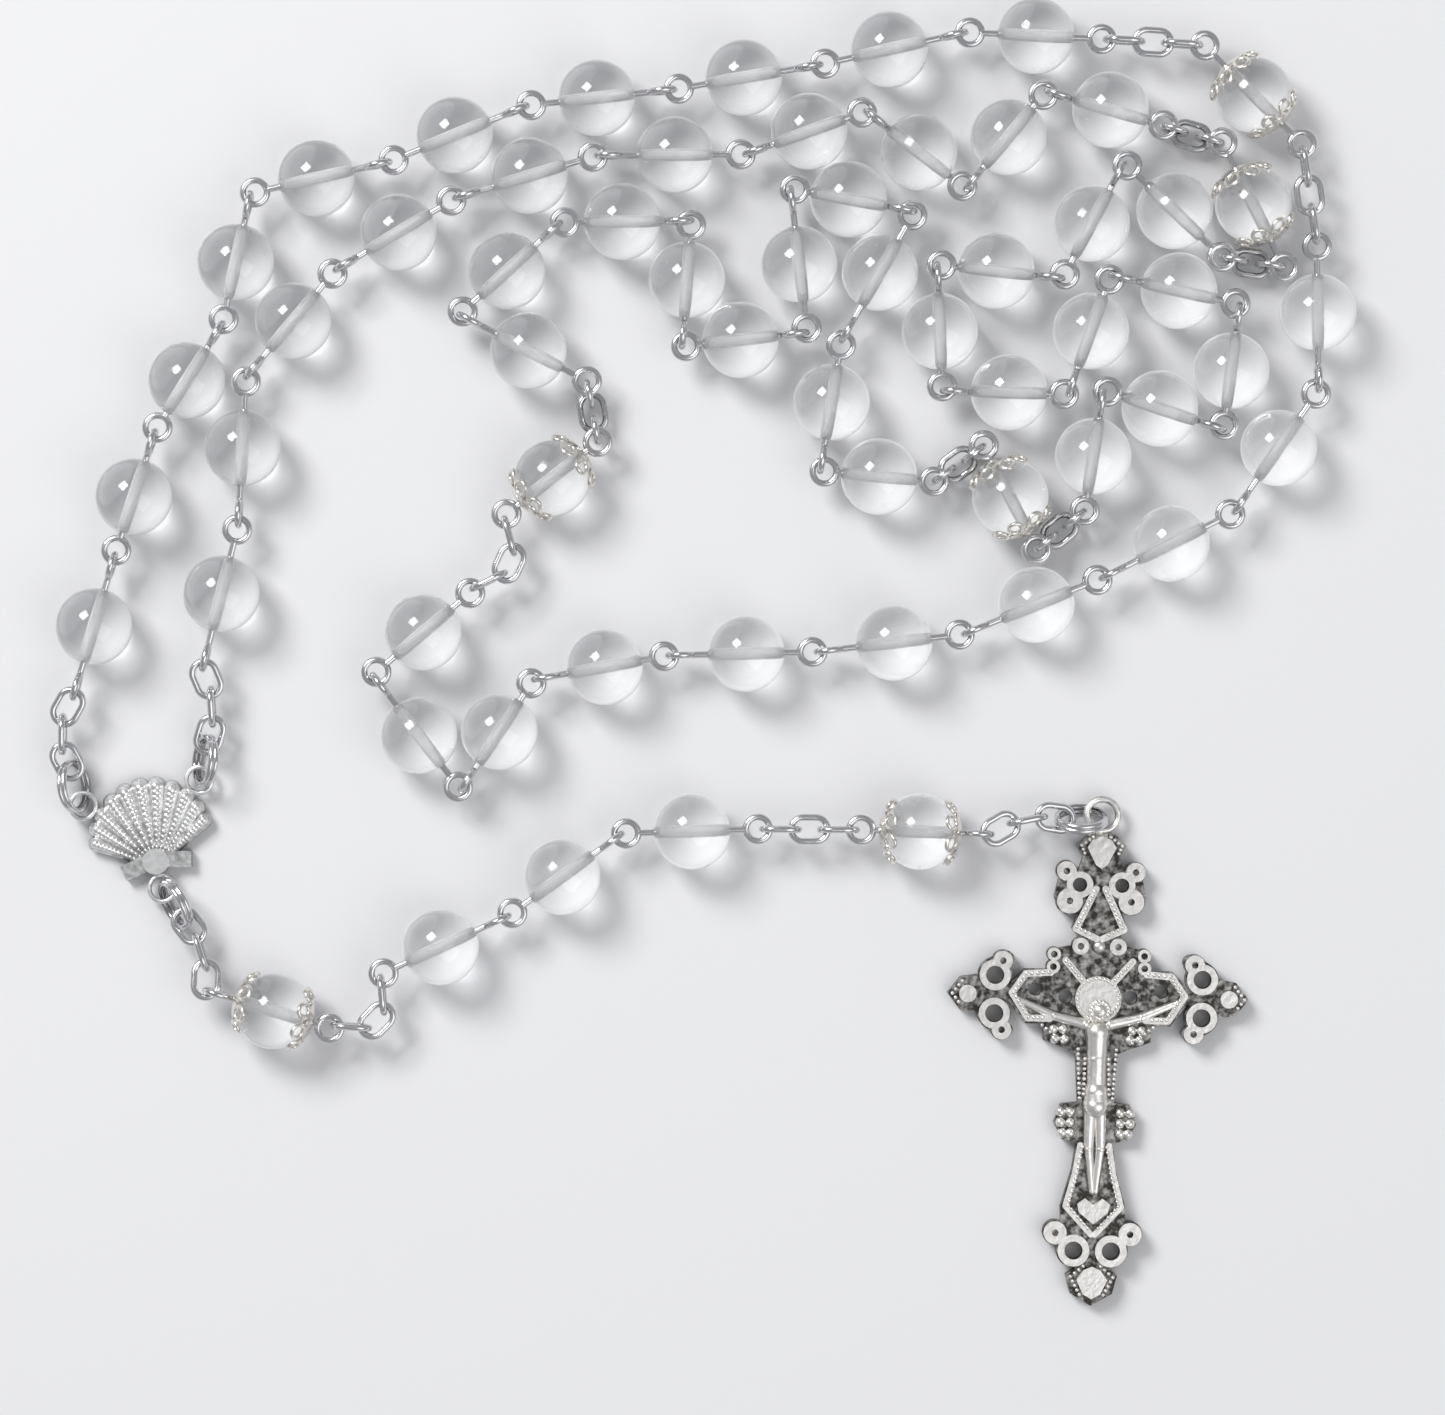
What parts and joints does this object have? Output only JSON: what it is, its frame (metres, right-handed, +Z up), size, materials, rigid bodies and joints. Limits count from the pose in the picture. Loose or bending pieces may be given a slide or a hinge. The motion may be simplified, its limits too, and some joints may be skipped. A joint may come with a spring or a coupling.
{
  "type": "rosary",
  "caption": "Laid-out rosary of round clear stone beads on looped wire pins and chain links, with a scallop centrepiece and a cast openwork crucifix.",
  "frame": {"origin": "middle of the laid-out outline, on the table it lies on", "axes": "+Z up off the table, +Y towards the far side of the loop, +X towards the side the crucifix lies on"},
  "size_m": [0.1359, 0.1361, 0.008],
  "materials": {
    "stone": "polished clear stone, some frosty veils",
    "wire": "drawn wire, bright",
    "caps": "bright, slightly warm",
    "centrepiece": "satin silver",
    "crucifix": "antiqued silver, dark in the recesses"
  },
  "bodies": {
    "loop": {"centrepiece": "centrepiece", "decade_1_beads": "stone", "decade_1_pins": "wire", "decade_2_beads": "stone", "decade_2_pins": "wire", "decade_3_beads": "stone", "decade_3_pins": "wire", "decade_4_beads": "stone", "decade_4_pins": "wire", "decade_5_beads": "stone", "decade_5_pins": "wire", "left_ear_ring": "wire", "our_father_1_pin": "wire", "our_father_2_pin": "wire", "our_father_3_pin": "wire", "our_father_4_pin": "wire", "right_ear_ring": "wire", "run_10_links": "wire", "run_1_links": "wire", "run_2_links": "wire", "run_3_links": "wire", "run_4_links": "wire", "run_5_links": "wire", "run_6_links": "wire", "run_7_links": "wire", "run_8_links": "wire", "run_9_links": "wire"},
    "drop_ring": {"drop_ring": "wire", "drop_run_1_links": "wire"},
    "our_father_5_pin": {"our_father_5_pin": "wire", "drop_run_2_links": "wire"},
    "hail_mary_1_pin": {"hail_mary_1_pin": "wire"},
    "hail_mary_2_pin": {"hail_mary_2_pin": "wire"},
    "hail_mary_3_pin": {"hail_mary_3_pin": "wire", "drop_run_3_links": "wire"},
    "our_father_6_pin": {"our_father_6_pin": "wire", "drop_run_4_links": "wire", "crucifix_ring": "wire"},
    "crucifix": {"crucifix": "crucifix"},
    "our_father_1_bead": {"our_father_1_bead": "stone", "our_father_1_caps": "caps"},
    "our_father_2_bead": {"our_father_2_bead": "stone", "our_father_2_caps": "caps"},
    "our_father_3_bead": {"our_father_3_bead": "stone", "our_father_3_caps": "caps"},
    "our_father_4_bead": {"our_father_4_bead": "stone", "our_father_4_caps": "caps"},
    "our_father_5_bead": {"our_father_5_bead": "stone", "our_father_5_caps": "caps"},
    "our_father_6_bead": {"our_father_6_bead": "stone", "our_father_6_caps": "caps"},
    "hail_mary_1_bead": {"hail_mary_1_bead": "stone"},
    "hail_mary_2_bead": {"hail_mary_2_bead": "stone"},
    "hail_mary_3_bead": {"hail_mary_3_bead": "stone"}
  },
  "joints": [
    {"name": "drop_ring_swing", "type": "hinge", "parent": "loop", "child": "drop_ring", "pos_m": [-0.05634, -0.0245, 0.0015], "axis": [0, 0, 1], "range_deg": [-4, 4]},
    {"name": "our_father_5_swing", "type": "hinge", "parent": "drop_ring", "child": "our_father_5_pin", "pos_m": [-0.05161, -0.03499, 0.004], "axis": [0, 0, -1], "range_deg": [-5, 5]},
    {"name": "hail_mary_1_swing", "type": "hinge", "parent": "our_father_5_pin", "child": "hail_mary_1_pin", "pos_m": [-0.03343, -0.03358, 0.004], "axis": [0, 0, 1], "range_deg": [-5, 5]},
    {"name": "hail_mary_2_swing", "type": "hinge", "parent": "hail_mary_1_pin", "child": "hail_mary_2_pin", "pos_m": [-0.02012, -0.02725, 0.004], "axis": [0, 0, -1], "range_deg": [-6, 6]},
    {"name": "hail_mary_3_swing", "type": "hinge", "parent": "hail_mary_2_pin", "child": "hail_mary_3_pin", "pos_m": [-0.00838, -0.01875, 0.004], "axis": [0, 0, 1], "range_deg": [-6, 6]},
    {"name": "our_father_6_swing", "type": "hinge", "parent": "hail_mary_3_pin", "child": "our_father_6_pin", "pos_m": [0.01601, -0.01835, 0.004], "axis": [0, 0, -1], "range_deg": [-5, 5]},
    {"name": "crucifix_swing", "type": "hinge", "parent": "our_father_6_pin", "child": "crucifix", "pos_m": [0.04168, -0.01685, 0.0018], "axis": [0, 0, 1], "range_deg": [-10, 10]},
    {"name": "our_father_1_spin", "type": "hinge", "parent": "loop", "child": "our_father_1_bead", "pos_m": [0.05721, 0.05799, 0.004], "axis": [0.7022, -0.712, 0], "continuous": true},
    {"name": "our_father_2_spin", "type": "hinge", "parent": "loop", "child": "our_father_2_bead", "pos_m": [-0.01562, 0.01818, 0.004], "axis": [0.7845, 0.6201, 0], "continuous": true},
    {"name": "our_father_3_spin", "type": "hinge", "parent": "loop", "child": "our_father_3_bead", "pos_m": [0.03196, 0.01617, 0.004], "axis": [0.4542, -0.8909, 0], "continuous": true},
    {"name": "our_father_4_spin", "type": "hinge", "parent": "loop", "child": "our_father_4_bead", "pos_m": [0.05719, 0.04656, 0.004], "axis": [-0.4445, 0.8958, 0], "continuous": true},
    {"name": "our_father_5_spin", "type": "hinge", "parent": "our_father_5_pin", "child": "our_father_5_bead", "pos_m": [-0.04457, -0.03715, 0.004], "axis": [0.9558, -0.2941, 0], "continuous": true},
    {"name": "our_father_6_spin", "type": "hinge", "parent": "our_father_6_pin", "child": "our_father_6_bead", "pos_m": [0.02262, -0.01855, 0.004], "axis": [0.9995, -0.0329, 0], "continuous": true},
    {"name": "hail_mary_1_spin", "type": "hinge", "parent": "hail_mary_1_pin", "child": "hail_mary_1_bead", "pos_m": [-0.02719, -0.03052, 0.004], "axis": [0.908, 0.4191, 0], "continuous": true},
    {"name": "hail_mary_2_spin", "type": "hinge", "parent": "hail_mary_2_pin", "child": "hail_mary_2_bead", "pos_m": [-0.01457, -0.02323, 0.004], "axis": [0.8097, 0.5869, 0], "continuous": true},
    {"name": "hail_mary_3_spin", "type": "hinge", "parent": "hail_mary_3_pin", "child": "hail_mary_3_bead", "pos_m": [-0.00108, -0.0185, 0.004], "axis": [0.9994, 0.0338, 0], "continuous": true}
  ]
}
